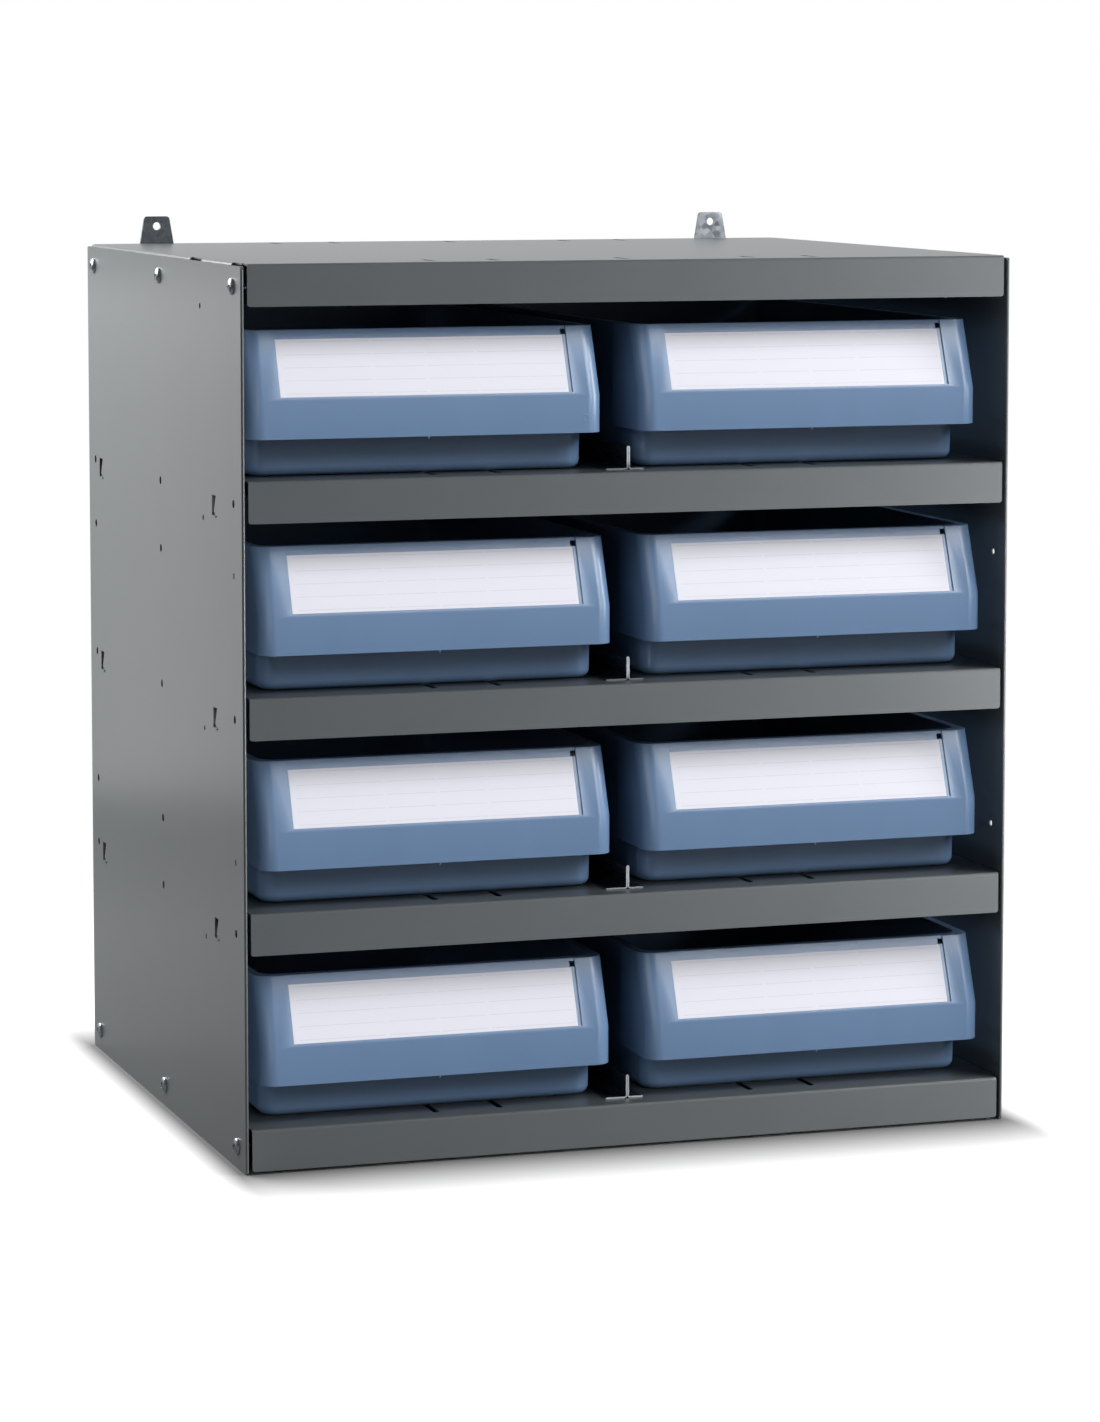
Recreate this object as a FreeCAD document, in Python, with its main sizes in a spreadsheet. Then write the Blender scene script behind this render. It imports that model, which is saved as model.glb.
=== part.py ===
"""Bin shelving rack: a sheet-steel rack with four levels and eight pull-out label-front bins.

Millimetres, Z up. The rack stands on Z = 0, its open front faces -Y, and X = 0 is its middle.
"""
import FreeCAD, Part
import Sketcher
import os
import re
from FreeCAD import Vector

# The driving dimensions: name, value and what it is.
SIZES = [
    ("side_room", 53, "width of the rack beyond the two bins that stand side by side"),
    ("rack_depth", 443, "from the front hems to the rear hems"),
    ("level_pitch", 140, "from one level to the next"),
    ("first_row", 15, "height of the lowest row of screw holes"),
    ("top_rise", 15, "top surface above the highest row of screw holes"),
    ("shelf_rise", 16, "shelf surface above its row of holes"),
    ("bottom_rise", 14.5, "bottom deck above the lowest row of screw holes"),
    ("sheet", 1.0, "steel sheet"),
    ("bend_radius", 0.8, "inside of a bend"),
    ("hem_depth", 9, "width of the closed hems of the side panels"),
    ("hem_gap", 0.2, "left between the two layers of a hem"),
    ("top_step", 1.6, "top surface above the upper edge of the side panels"),
    ("edge_slot_depth", 2.8, "slots in the side bends of the top panel, down and in from the edge"),
    ("edge_slot_setback", 106.5, "nearer end of the edge slot behind the pilot holes from the front"),
    ("edge_slot_length", 31, "edge slot behind the pilot holes"),
    ("corner_slot_length", 27.5, "open slot at each front corner of the top panel"),
    ("panel_corner", 3, "corner radius of the side panels"),
    ("flange_height", 27.5, "height of the flanges round each deck, over the deck"),
    ("flange_gap", 2.2, "from the end of a front flange to the hem beside it"),
    ("flange_corner", 2, "radius of the lower corners of the front and rear flanges"),
    ("hem_clearance", 1.5, "from the end of a side flange to the hem in front of it"),
    ("column_setback", 21.5, "outer hole columns from the front and rear hems"),
    ("screw_hole", 5.5, "holes for the panel screws"),
    ("small_hole", 4.2, "holes in the front column for shelves at thirds of the height"),
    ("pilot_hole", 3.6, "round holes below the hook slots"),
    ("pilot_setback", 101.5, "round holes from the front hem"),
    ("pilot_drop", 15.3, "round holes below their row"),
    ("earth_hole", 4.0, "single hole below the top panel"),
    ("earth_setback", 107, "single hole from the front hem"),
    ("earth_drop", 16, "single hole below the highest row"),
    ("front_slot_setback", 73, "middle of the front hook slots from the front hem"),
    ("rear_slot_setback", 39.3, "middle of the rear hook slots from the rear hem"),
    ("slot_width", 10, "hook slot at its upper end"),
    ("slot_waist", 5, "hook slot at its narrowest"),
    ("slot_toe", 1.2, "how far the toe of a hook slot reaches past its upper end"),
    ("slot_rise", 1.7, "upper end of a hook slot above its row"),
    ("toe_height", 2.4, "height of the toe of a hook slot"),
    ("hook_clearance", 0.2, "round a tongue in its hook slot"),
    ("tongue_width", 9.5, "tongues of the shelves"),
    ("tongue_reach", 0.6, "tongues past the outer face of the side panel"),
    ("window_margin", 1.5, "opening in the side flange round a hook slot"),
    ("deck_slot_width", 4.5, "slots in the decks for the divider tabs"),
    ("deck_slot_length", 26, "slots in the decks for the divider tabs"),
    ("deck_slot_setback", 28.75, "middle of the deck slots from the front and rear hems"),
    ("bracket_thickness", 2, "wall bracket plate"),
    ("bracket_offset", 51.5, "middle of a wall bracket in from the outer face of the side panel"),
    ("bracket_base", 25, "width of a wall bracket at the top surface"),
    ("bracket_tip", 18.4, "width of a wall bracket at its ends"),
    ("bracket_height", 19.6, "wall bracket above the top surface, and as much below it"),
    ("bracket_corner", 2.5, "corner radius of a wall bracket"),
    ("bracket_hole", 5.8, "wall-screw hole of a bracket"),
    ("bracket_hole_rise", 12.5, "holes of a bracket above and below the top surface"),
    ("thread", 5.0, "thread diameter of the panel and bracket screws"),
    ("thread_clearance", 0.1, "between a screw and a threaded hole, on diameter"),
    ("head_diameter", 11, "truss heads of the panel screws"),
    ("head_height", 2.8, "truss heads of the panel screws"),
    ("head_rim", 0.6, "straight rim of a truss head"),
    ("screw_length", 9, "panel screws under the head"),
    ("nut_flats", 8, "nuts across flats"),
    ("nut_height", 4, "height of a nut"),
    ("foot_thread", 3.9, "thread diameter of the screws at the foot of the back panel"),
    ("foot_head", 7.5, "heads of the screws at the foot of the back panel"),
    ("foot_head_height", 1.7, "heads of the screws at the foot of the back panel"),
    ("foot_screw_length", 8, "screws at the foot of the back panel, under the head"),
    ("back_gap", 0.5, "from the back panel to the hem beside it"),
    ("divider_offset", 1.2, "divider fin to the right of the middle"),
    ("divider_height", 15.7, "divider fin above the deck"),
    ("divider_left", 15.2, "left foot of a divider from the middle of its fin"),
    ("divider_right", 10.8, "right foot of a divider from the middle of its fin"),
    ("divider_setback", 17.5, "divider ends from the front and rear hems"),
    ("tab_depth", 5, "divider tabs below the deck surface"),
    ("tab_length", 22, "divider tabs"),
    ("bin_width", 240, "over the hood"),
    ("bin_length", 400, "from the front band to the rear rim"),
    ("bin_height", 95, "floor to rim"),
    ("bin_wall", 2.0, "wall of a bin"),
    ("bin_setback", 8.5, "front band behind the front of the rack"),
    ("bin_clearance", 0.2, "under a bin"),
    ("hood_bottom", 25.5, "lower edge of the hood above the floor"),
    ("band_top", 50, "top of the upright band"),
    ("label_lean", 18, "rim behind the band"),
    ("hood_length", 60, "side cheeks of the hood from the band"),
    ("hood_corner", 11, "corner radius of the hood"),
    ("tub_setback", 25.5, "front wall of the tub behind the band, at the floor"),
    ("tub_inset", 5.5, "side walls of the tub inside the hood, at the floor"),
    ("tub_draft", 1.5, "how far each wall leans outwards up to the rim"),
    ("tub_corner", 12, "corner radius of the tub"),
    ("floor_radius", 6, "edge radius round the underside of the tub"),
    ("rim_width", 4, "flange round the sides and back of the rim"),
    ("rim_height", 2.5, "flange round the sides and back of the rim"),
    ("pocket_width", 198, "label pocket"),
    ("pocket_depth", 1.0, "label pocket"),
    ("pocket_start", 2.6, "label pocket above the band, along the slope"),
    ("notch_width", 3.6, "push-out hole in the right upper corner of the label pocket"),
    ("notch_start", 43, "push-out hole above the band, along the slope"),
    ("notch_height", 3.7, "push-out hole along the slope"),
    ("card_width", 195, "label card"),
    ("card_height", 39.5, "label card along the slope"),
    ("card_thickness", 0.3, "label card"),
    ("card_gap", 0.3, "below and to the left of a label card"),
]

# Where each bin stands: level from the top, side and the gap from its inner side to the middle of the rack.
BINS = [
    (1, "left", 19.0),
    (1, "right", 7.7),
    (2, "left", 11.8),
    (2, "right", 12.6),
    (3, "left", 11.8),
    (3, "right", 11.6),
    (4, "left", 12.3),
    (4, "right", 13.4),
]

LEVELS = 4
SHEET_NAME = "Sizes"
ALIASES = {name for name, value, note in SIZES}

# Places and sizes that several pieces share, as formulas of the driving dimensions.
FRONT = "(-rack_depth / 2)"
REAR = "(rack_depth / 2)"
SIDE_FACE = "(bin_width + side_room / 2)"
INNER = f"({SIDE_FACE} - sheet)"
BRACKET = f"({SIDE_FACE} - bracket_offset)"
HEM = "(2 * sheet + hem_gap)"
HEM_RADIUS = "(sheet + hem_gap / 2)"
OUTER_BEND = "(sheet + bend_radius)"
BACK_FACE = "(rack_depth / 2 - bracket_thickness - sheet)"
SPAN = f"({LEVELS} * level_pitch)"
TOP = f"(first_row + {SPAN} + top_rise)"
MIDDLE_ROW = f"(first_row + {SPAN} / 2)"
FLANGE_HALF = f"({SIDE_FACE} - {HEM} - flange_gap)"
SIDE_HALF = "(rack_depth / 2 - hem_depth - hem_clearance)"
SLOT_MIDDLES = (f"({FRONT} + front_slot_setback)", f"({REAR} - rear_slot_setback)")
DECK_SLOT_MIDDLES = (f"({FRONT} + deck_slot_setback)", f"({REAR} - deck_slot_setback)")
LEAN = "atan(label_lean / (bin_height - band_top))"


def bound(formula):
    """Rewrite a formula of plain names as an expression on the sheet's cells."""
    return re.sub(r"[a-z][a-z_]*", lambda m: f"{SHEET_NAME}.{m[0]}" if m[0] in ALIASES else m[0], formula)


def value(owner, formula):
    """Work out a formula with the sheet's present values."""
    return float(owner.evalExpression(bound(formula)))


def make_sheet(doc):
    """Write the driving dimensions into the sheet, one row each."""
    sheet = doc.addObject("Spreadsheet::Sheet", SHEET_NAME)
    for row, (name, number, note) in enumerate(SIZES, start=1):
        sheet.set(f"A{row}", name)
        sheet.set(f"B{row}", str(number))
        sheet.set(f"C{row}", note)
        sheet.setAlias(f"B{row}", name)
    doc.recompute()
    return sheet


# Bodies, sketches and features


def new_body(doc, label, at=("0", "0", "0")):
    """A body with its own label, placed by three formulas."""
    body = doc.addObject("PartDesign::Body", label)
    body.Label = label
    for axis, formula in zip("xyz", at):
        body.setExpression(f"Placement.Base.{axis}", bound(formula))
    return body


def same_again(doc, label, source, at):
    """A body with the form of another body at a place of its own."""
    body = new_body(doc, label, at)
    form = doc.addObject("PartDesign::FeatureBase", f"{label}_form")
    body.Group = [form]
    form.BaseFeature = source
    body.Tip = form
    return body


class Drawing:
    """A sketch on one of a body's own origin planes, drawn by formulas and handed over when it is closed."""

    def __init__(self, body, name, role, offset="0"):
        self.sketch = body.newObject("Sketcher::SketchObject", name)
        plane = next(item for item in body.Origin.OriginFeatures if item.Role == role)
        self.sketch.AttachmentSupport = [(plane, "")]
        self.sketch.MapMode = "FlatFace"
        self.sketch.setExpression("AttachmentOffset.Base.z", bound(offset))
        self.geometry = []
        self.constraints = []
        self.formulas = {}

    def at(self, place):
        """The present point of two formulas."""
        return Vector(value(self.sketch, place[0]), value(self.sketch, place[1]), 0)

    def dimension(self, kind, formula, *where):
        """Add one dimension with its present value and keep the formula that it follows."""
        self.formulas[len(self.constraints)] = formula
        self.constraints.append(Sketcher.Constraint(kind, *where, value(self.sketch, formula)))

    def hold(self, geometry, point, place):
        """Fix one point by the two formulas of its place."""
        self.dimension("DistanceX", place[0], -1, 1, geometry, point)
        self.dimension("DistanceY", place[1], -1, 1, geometry, point)

    def outline(self, points, arcs=None):
        """Close an outline through points given by formulas.

        arcs maps the number of a segment to the formulas of its centre and its sense: +1 is counter-clockwise.
        """
        arcs = arcs or {}
        places = [self.at(point) for point in points]
        ends = []
        for number, start in enumerate(places):
            stop = places[(number + 1) % len(places)]
            geometry = len(self.geometry)
            if number not in arcs:
                self.geometry.append(Part.LineSegment(start, stop))
                ends.append((geometry, 1, 2))
                continue
            x, y, sense = arcs[number]
            centre = self.at((x, y))
            first, last = (start, stop) if sense > 0 else (stop, start)
            circle = Part.Circle(centre, Vector(0, 0, 1), (start - centre).Length)
            self.geometry.append(Part.ArcOfCircle(circle, circle.parameter(first), circle.parameter(last)))
            ends.append((geometry, 1, 2) if sense > 0 else (geometry, 2, 1))
            chord = stop - start
            if abs(chord.y) > abs(chord.x):
                self.dimension("DistanceX", x, -1, 1, geometry, 3)
            else:
                self.dimension("DistanceY", y, -1, 1, geometry, 3)
        for number, place in enumerate(points):
            geometry, first, last = ends[number]
            before, _, joint = ends[number - 1]
            self.constraints.append(Sketcher.Constraint("Coincident", before, joint, geometry, first))
            self.hold(geometry, first, place)

    def circle(self, place, diameter):
        """A circle whose middle and diameter are formulas."""
        geometry = len(self.geometry)
        self.geometry.append(Part.Circle(self.at(place), Vector(0, 0, 1), value(self.sketch, diameter) / 2))
        self.hold(geometry, 3, place)
        self.dimension("Diameter", diameter, geometry)

    def rectangle(self, left, right, low, high):
        """A rectangle between four formulas."""
        self.outline([(left, low), (right, low), (right, high), (left, high)])

    def rounded_rectangle(self, left, right, low, high, radius, low_corners=True, high_corners=True):
        """A rectangle with rounded corners at its low side, its high side or both."""
        points, arcs = [], {}
        corners = [
            (left, low, "+", "+", True, low_corners),
            (right, low, "-", "+", False, low_corners),
            (right, high, "-", "-", True, high_corners),
            (left, high, "+", "-", False, high_corners),
        ]
        for x, y, inward_x, inward_y, upright_first, rounded in corners:
            if not rounded:
                points.append((x, y))
                continue
            beside = (f"{x} {inward_x} {radius}", y)
            above = (x, f"{y} {inward_y} {radius}")
            points += [above, beside] if upright_first else [beside, above]
            arcs[len(points) - 2] = (beside[0], above[1], 1)
        self.outline(points, arcs)

    def close(self):
        """Hand the geometry and its constraints over in one go and bind the dimensions."""
        self.sketch.addGeometry(self.geometry)
        self.sketch.addConstraint(self.constraints)
        for index, formula in self.formulas.items():
            self.sketch.setExpression(f"Constraints[{index}]", bound(formula))
        self.sketch.Visibility = False
        return self.sketch


def extrude(body, kind, name, drawing, length=None, side="One side", reverse=False, through=False):
    """Pad or pocket a drawing by a formula, or right through."""
    sketch = drawing.close()
    feature = body.newObject(f"PartDesign::{kind}", name)
    feature.Profile = sketch
    feature.SideType = side
    feature.Reversed = reverse
    if through:
        feature.Type = "ThroughAll"
    else:
        feature.setExpression("Length", bound(length))
    return feature


def loft(body, kind, name, sections):
    """Loft straight from section to section."""
    sketches = [section.close() for section in sections]
    feature = body.newObject(f"PartDesign::{kind}", name)
    feature.Profile = sketches[0]
    feature.Sections = sketches[1:]
    feature.Ruled = True
    return feature


def origin_item(body, role):
    """One of the body's own axes or planes, as patterns take it."""
    return (next(item for item in body.Origin.OriginFeatures if item.Role == role), [""])


def repeat(body, feature, name, columns, rows, column_span, row_span, column_axis="Y_Axis"):
    """Repeat a feature in columns along an axis and in rows upwards, over two spans given by formulas."""
    if columns * rows == 1:
        return
    pattern = body.newObject("PartDesign::LinearPattern", name)
    pattern.Originals = [feature]
    pattern.Direction = origin_item(body, column_axis if columns > 1 else "Z_Axis")
    pattern.Occurrences = columns if columns > 1 else rows
    pattern.setExpression("Length", bound(column_span if columns > 1 else row_span))
    if columns > 1 and rows > 1:
        pattern.Direction2 = origin_item(body, "Z_Axis")
        pattern.Occurrences2 = rows
        pattern.setExpression("Length2", bound(row_span))
    body.Tip = pattern


def mirror(body, feature, name):
    """Repeat a feature on the other side of the body's own middle plane."""
    copy = body.newObject("PartDesign::Mirrored", name)
    copy.Originals = [feature]
    copy.MirrorPlane = origin_item(body, "YZ_Plane")
    body.Tip = copy


def fillet(doc, body, name, chosen, radius):
    """Round the edges of the body's present shape that a test chooses."""
    doc.recompute()
    tip = body.Tip
    names = [f"Edge{n}" for n, edge in enumerate(tip.Shape.Edges, start=1) if chosen(edge)]
    if not names:
        raise RuntimeError(f"{body.Label}: no edges for {name}")
    feature = body.newObject("PartDesign::Fillet", name)
    feature.Base = (tip, names)
    feature.setExpression("Radius", bound(radius))
    return feature


def mirrored_piece(doc, label, source):
    """The same piece on the other side of the rack."""
    piece = doc.addObject("Part::Mirroring", label)
    piece.Label = label
    piece.Source = source
    piece.Normal = Vector(1, 0, 0)
    return piece


def near(number, target, within=0.01):
    return abs(number - target) < within


# The steel rack


def row(number):
    """Height of a row of holes, counted from the bottom."""
    return f"(first_row + {number} * level_pitch)"


def level_surface(level):
    """Height of the deck that level 1 (the top) to 4 stands on."""
    if level == LEVELS:
        return "(first_row + bottom_rise)"
    return f"({row(LEVELS - level)} + shelf_rise)"


def hook_slot(drawing, middle, level_row):
    """A boot-shaped slot: upright at the back, slanting to a waist in front, with a toe for the tongue."""
    back = f"{middle} + slot_width / 2"
    top = f"{level_row} + slot_rise"
    sole = f"{level_row} + shelf_rise - flange_height - sheet - hook_clearance"
    drawing.outline(
        [
            (f"{middle} - slot_width / 2 - slot_toe", sole),
            (back, sole),
            (back, top),
            (f"{middle} - slot_width / 2", top),
            (f"{back} - slot_waist", f"{sole} + toe_height + slot_toe"),
            (f"{middle} - slot_width / 2 - slot_toe", f"{sole} + toe_height"),
        ],
    )


def make_side_panel(doc):
    """The right side panel: one sheet with closed hems at the front and back."""
    body = new_body(doc, "side_panel_right")
    face = SIDE_FACE
    profile = Drawing(body, "panel_profile", "XY_Plane")
    inside = f"{face} - sheet"
    return_face = f"{face} - sheet - hem_gap"
    hem_face = f"{face} - {HEM}"
    middle = f"{face} - {HEM_RADIUS}"
    low, high = f"{FRONT} + {HEM_RADIUS}", f"{REAR} - {HEM_RADIUS}"
    profile.outline(
        [
            (face, low),
            (face, high),
            (hem_face, high),
            (hem_face, f"{REAR} - hem_depth"),
            (return_face, f"{REAR} - hem_depth"),
            (return_face, high),
            (inside, high),
            (inside, low),
            (return_face, low),
            (return_face, f"{FRONT} + hem_depth"),
            (hem_face, f"{FRONT} + hem_depth"),
            (hem_face, low),
        ],
        {
            1: (middle, high, 1),
            5: (middle, high, -1),
            7: (middle, low, -1),
            11: (middle, low, 1),
        },
    )
    extrude(body, "Pad", "panel", profile, f"{TOP} - top_step")

    corners = Drawing(body, "panel_corners", "YZ_Plane")
    crest = f"{TOP} - top_step"
    for y, inward_y in ((FRONT, "+"), (REAR, "-")):
        for z, inward_z in (("0", "+"), (crest, "-")):
            beside = (f"{y} {inward_y} panel_corner", z)
            above = (y, f"{z} {inward_z} panel_corner")
            sense = 1 if (inward_y == inward_z) else -1
            corners.outline(
                [(y, z), beside, above],
                {1: (f"{y} {inward_y} panel_corner", f"{z} {inward_z} panel_corner", -sense)},
            )
    extrude(body, "Pocket", "rounded_corners", corners, side="Symmetric", through=True)

    def cut(name, draw, columns=1, rows=1, column_span="0", row_span="0"):
        drawing = Drawing(body, f"{name}_outline", "YZ_Plane")
        draw(drawing)
        feature = extrude(body, "Pocket", name, drawing, side="Symmetric", through=True)
        repeat(body, feature, f"{name}_repeated", columns, rows, column_span, row_span)

    def hole(y, z, diameter):
        return lambda drawing: drawing.circle((y, z), diameter)

    def hooks(drawing):
        for middle in SLOT_MIDDLES:
            hook_slot(drawing, middle, row(1))
        drawing.circle((f"{FRONT} + pilot_setback", f"{row(1)} - pilot_drop"), "pilot_hole")

    front_column = f"{FRONT} + column_setback"
    columns_apart = "(rack_depth / 2 - column_setback)"
    third = f"{SPAN} / 3"
    first_third = f"{MIDDLE_ROW} - {third} / 2"
    cut("screw_holes", hole(front_column, row(0), "screw_hole"), 3, LEVELS + 1, f"2 * {columns_apart}", SPAN)
    cut("front_third_holes", hole(front_column, first_third, "small_hole"), 1, 2, "0", third)
    cut("third_holes", hole("0", first_third, "screw_hole"), 2, 2, columns_apart, third)
    cut("hook_slots", hooks, 1, LEVELS - 1, "0", f"{LEVELS - 2} * level_pitch")
    cut("single_hole", hole(f"{FRONT} + earth_setback", f"{row(LEVELS)} - earth_drop", "earth_hole"))
    return body


def channel(drawing, left, right, drop):
    """The section of a deck with a flange down at each end, all of one sheet with bent corners."""
    arc_left, arc_right = f"{left} + {OUTER_BEND}", f"{right} - {OUTER_BEND}"
    shoulder = f"-{OUTER_BEND}"
    drawing.outline(
        [
            (left, f"-{drop}"),
            (f"{left} + sheet", f"-{drop}"),
            (f"{left} + sheet", shoulder),
            (arc_left, "-sheet"),
            (arc_right, "-sheet"),
            (f"{right} - sheet", shoulder),
            (f"{right} - sheet", f"-{drop}"),
            (right, f"-{drop}"),
            (right, shoulder),
            (arc_right, "0"),
            (arc_left, "0"),
            (left, shoulder),
        ],
        {
            2: (arc_left, shoulder, -1),
            4: (arc_right, shoulder, -1),
            8: (arc_right, shoulder, 1),
            10: (arc_left, shoulder, 1),
        },
    )


def make_pan(doc, label, height, rise):
    """A deck with a flange on all four sides and relieved corners. Its surface is at Z = 0 of its frame."""
    body = new_body(doc, label, ("0", "0", height))
    lengthwise = Drawing(body, f"{label}_front_and_rear", "YZ_Plane")
    channel(lengthwise, FRONT, BACK_FACE, "flange_height")
    extrude(body, "Pad", f"{label}_deck", lengthwise, f"2 * {FLANGE_HALF}", side="Symmetric")

    crosswise = Drawing(body, f"{label}_sides", "XZ_Plane")
    channel(crosswise, f"-{INNER}", INNER, "flange_height")
    extrude(body, "Pad", f"{label}_side_flanges", crosswise, f"2 * {SIDE_HALF}", side="Symmetric")

    rows_of_slots = (
        ("thirds", f"-{INNER} / 3", 3, f"2 * {INNER} / 3"),
        ("halves", f"-{INNER} / 2", 2, INNER),
    )
    for name, middle, count, span in rows_of_slots:
        slots = Drawing(body, f"{label}_{name}_slots", "XY_Plane")
        for y in DECK_SLOT_MIDDLES:
            slots.rounded_rectangle(
                f"{middle} - deck_slot_width / 2",
                f"{middle} + deck_slot_width / 2",
                f"{y} - deck_slot_length / 2",
                f"{y} + deck_slot_length / 2",
                "deck_slot_width / 3",
            )
        pocket = extrude(body, "Pocket", f"{label}_{name}", slots, "2 * sheet")
        repeat(body, pocket, f"{label}_{name}_repeated", count, 1, span, "0", "X_Axis")

    corners = Drawing(body, f"{label}_flange_corners", "XZ_Plane")
    for sign, inward, sense in (("-", "+", -1), ("", "-", 1)):
        end = f"{sign}{FLANGE_HALF}"
        centre = (f"{end} {inward} flange_corner", "-flange_height + flange_corner")
        corners.outline(
            [(end, "-flange_height"), (end, centre[1]), (centre[0], "-flange_height")],
            {1: (*centre, -sense)},
        )
    extrude(body, "Pocket", f"{label}_rounded_corners", corners, side="Symmetric", through=True)

    holes = Drawing(body, f"{label}_side_holes", "YZ_Plane")
    for column in (f"{FRONT} + column_setback", "0", f"{REAR} - column_setback"):
        holes.circle((column, f"-{rise}"), "screw_hole")
    extrude(body, "Pocket", f"{label}_holes", holes, side="Symmetric", through=True)
    return body


def add_rear_holes(body, height, diameter):
    """Two holes in the rear flange of a pan, in line with the wall brackets."""
    holes = Drawing(body, f"{body.Label}_rear_holes", "XZ_Plane")
    for sign in "-+":
        holes.circle((f"{sign} {BRACKET}", height), diameter)
    extrude(body, "Pocket", f"{body.Label}_rear_screw_holes", holes, through=True)


def add_edge_slots(body):
    """Two slots through each side bend of the top panel, the front one open to the corner."""
    slots = Drawing(body, f"{body.Label}_edge_slots", "YZ_Plane", f"{INNER}")
    near_end = f"{FRONT} + edge_slot_setback"
    slots.rectangle(near_end, f"{near_end} + edge_slot_length", "-edge_slot_depth", "sheet")
    slots.rectangle(f"{FRONT} - sheet", f"{FRONT} + corner_slot_length", "-edge_slot_depth", "sheet")
    name = f"{body.Label}_right_edge_slots"
    right = extrude(body, "Pocket", name, slots, "2 * edge_slot_depth", side="Symmetric")
    mirror(body, right, f"{body.Label}_left_edge_slots")


def make_shelf(doc, label, height):
    """A pan with windows behind the hook slots and four tongues that reach through them."""
    body = make_pan(doc, label, height, "shelf_rise")
    windows = Drawing(body, f"{label}_windows", "YZ_Plane")
    for middle in SLOT_MIDDLES:
        windows.rounded_rectangle(
            f"{middle} - slot_width / 2 - window_margin",
            f"{middle} + slot_width / 2 + window_margin",
            "-flange_height + window_margin",
            "-shelf_rise + slot_rise + window_margin",
            "window_margin",
        )
    extrude(body, "Pocket", f"{label}_flange_windows", windows, side="Symmetric", through=True)

    tongues = Drawing(body, f"{label}_tongues", "YZ_Plane", f"{SIDE_FACE} - 2 * sheet")
    for middle in SLOT_MIDDLES:
        toe = f"({middle} - slot_width / 2 - slot_toe + hook_clearance)"
        tongues.rectangle(toe, f"{toe} + tongue_width", "-flange_height - sheet", "-flange_height")
    right = extrude(body, "Pad", f"{label}_right_tongues", tongues, "2 * sheet + tongue_reach")
    mirror(body, right, f"{label}_left_tongues")
    return body


def make_back_panel(doc):
    """A flat sheet on the rear flanges of the pans, between the rear hems."""
    body = new_body(doc, "back_panel")
    sheet = Drawing(body, "back_outline", "XZ_Plane", f"-{BACK_FACE}")
    half = f"({SIDE_FACE} - {HEM} - back_gap)"
    low = "first_row + bottom_rise - flange_height"
    sheet.rounded_rectangle(f"-{half}", half, low, f"{TOP} - {OUTER_BEND}", "panel_corner")
    for sign in "-+":
        sheet.circle((f"{sign} {BRACKET}", f"{TOP} - bracket_hole_rise"), "screw_hole")
        sheet.circle((f"{sign} {BRACKET}", row(0)), "small_hole")
    extrude(body, "Pad", "back", sheet, "sheet", reverse=True)
    return body


def make_wall_bracket(doc):
    """The right wall bracket: a plate widest at the top surface of the rack, with two holes."""
    body = new_body(doc, "wall_bracket_right")
    plate = Drawing(body, "bracket_outline", "XZ_Plane", f"bracket_thickness - {REAR}")
    tip, base = "bracket_tip / 2", "bracket_base / 2"
    high, low = f"{TOP} + bracket_height", f"{TOP} - bracket_height"
    plate.outline(
        [
            (f"{BRACKET} - {tip}", low),
            (f"{BRACKET} + {tip}", low),
            (f"{BRACKET} + {base}", TOP),
            (f"{BRACKET} + {tip}", high),
            (f"{BRACKET} - {tip}", high),
            (f"{BRACKET} - {base}", TOP),
        ],
    )
    plate.circle((BRACKET, f"{TOP} + bracket_hole_rise"), "bracket_hole")
    plate.circle((BRACKET, f"{TOP} - bracket_hole_rise"), "thread + thread_clearance")
    extrude(body, "Pad", "bracket_plate", plate, "bracket_thickness", reverse=True)
    top = value(body, TOP)

    def is_end_corner(edge):
        straight = edge.Curve.TypeId == "Part::GeomLine"
        along_y = straight and near(abs(edge.tangentAt(edge.FirstParameter).y), 1)
        return along_y and not near(edge.CenterOfMass.z, top)

    fillet(doc, body, "bracket_corners", is_end_corner, "bracket_corner")
    return body


# Screws and nuts


def screw_profile(drawing, head, head_height, rim, shank, length):
    """Half the section of a screw: X along its axis with the head's bearing face at 0, Y across it."""
    crown = f"({head_height} - {rim})"
    radius = f"((({head} / 2) ^ 2 + {crown} ^ 2) / (2 * {crown}))"
    drawing.outline(
        [
            (f"-{length}", "0"),
            (head_height, "0"),
            (rim, f"{head} / 2"),
            ("0", f"{head} / 2"),
            ("0", f"{shank} / 2"),
            (f"-{length}", f"{shank} / 2"),
        ],
        {1: (f"{head_height} - {radius}", "0", 1)},
    )


def revolve(body, name, drawing):
    """Turn a drawing once round its own horizontal axis."""
    sketch = drawing.close()
    feature = body.newObject("PartDesign::Revolution", name)
    feature.Profile = sketch
    feature.ReferenceAxis = (sketch, ["H_Axis"])
    feature.Angle = 360
    return feature


def make_panel_screws(doc):
    """The six screws of the right side panel, heads outside."""
    place = (SIDE_FACE, f"{FRONT} + column_setback", "first_row")
    body = new_body(doc, "panel_screws_right", place)
    profile = Drawing(body, "panel_screw_profile", "XY_Plane")
    screw_profile(profile, "head_diameter", "head_height", "head_rim", "thread", "screw_length")
    screw = revolve(body, "panel_screw", profile)
    repeat(body, screw, "panel_screws_repeated", 3, 2, "rack_depth - 2 * column_setback", SPAN)
    return body


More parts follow.
